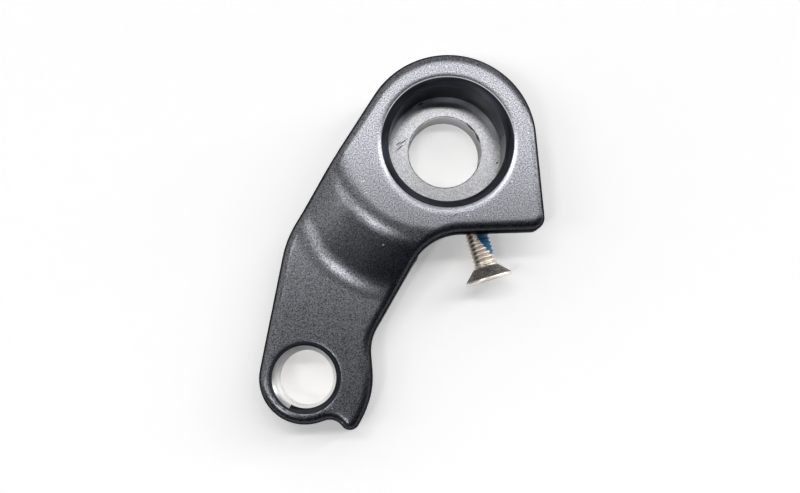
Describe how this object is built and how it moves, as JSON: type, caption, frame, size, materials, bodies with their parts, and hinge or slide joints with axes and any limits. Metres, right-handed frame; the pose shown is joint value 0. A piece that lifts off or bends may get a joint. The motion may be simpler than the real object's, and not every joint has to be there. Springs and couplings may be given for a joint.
{
  "type": "bicycle derailleur hanger",
  "caption": "Black plate that holds a rear derailleur: round end with hub seat and axle bore, ramp to a lower plate with threaded hole and stop tab, and a countersunk fixing screw.",
  "frame": {"origin": "on the axle axis, in the plane of the frame side that the hanger lies on", "axes": "+Z along the axle towards the wheel, +Y up and +X right as in the picture"},
  "size_m": [0.0459, 0.0608, 0.012],
  "materials": {
    "anodised_aluminium": "blasted and black anodised",
    "stainless_steel": "plain"
  },
  "bodies": {
    "root": {"hanger": "anodised_aluminium", "fixing_screw": "stainless_steel"}
  },
  "joints": []
}
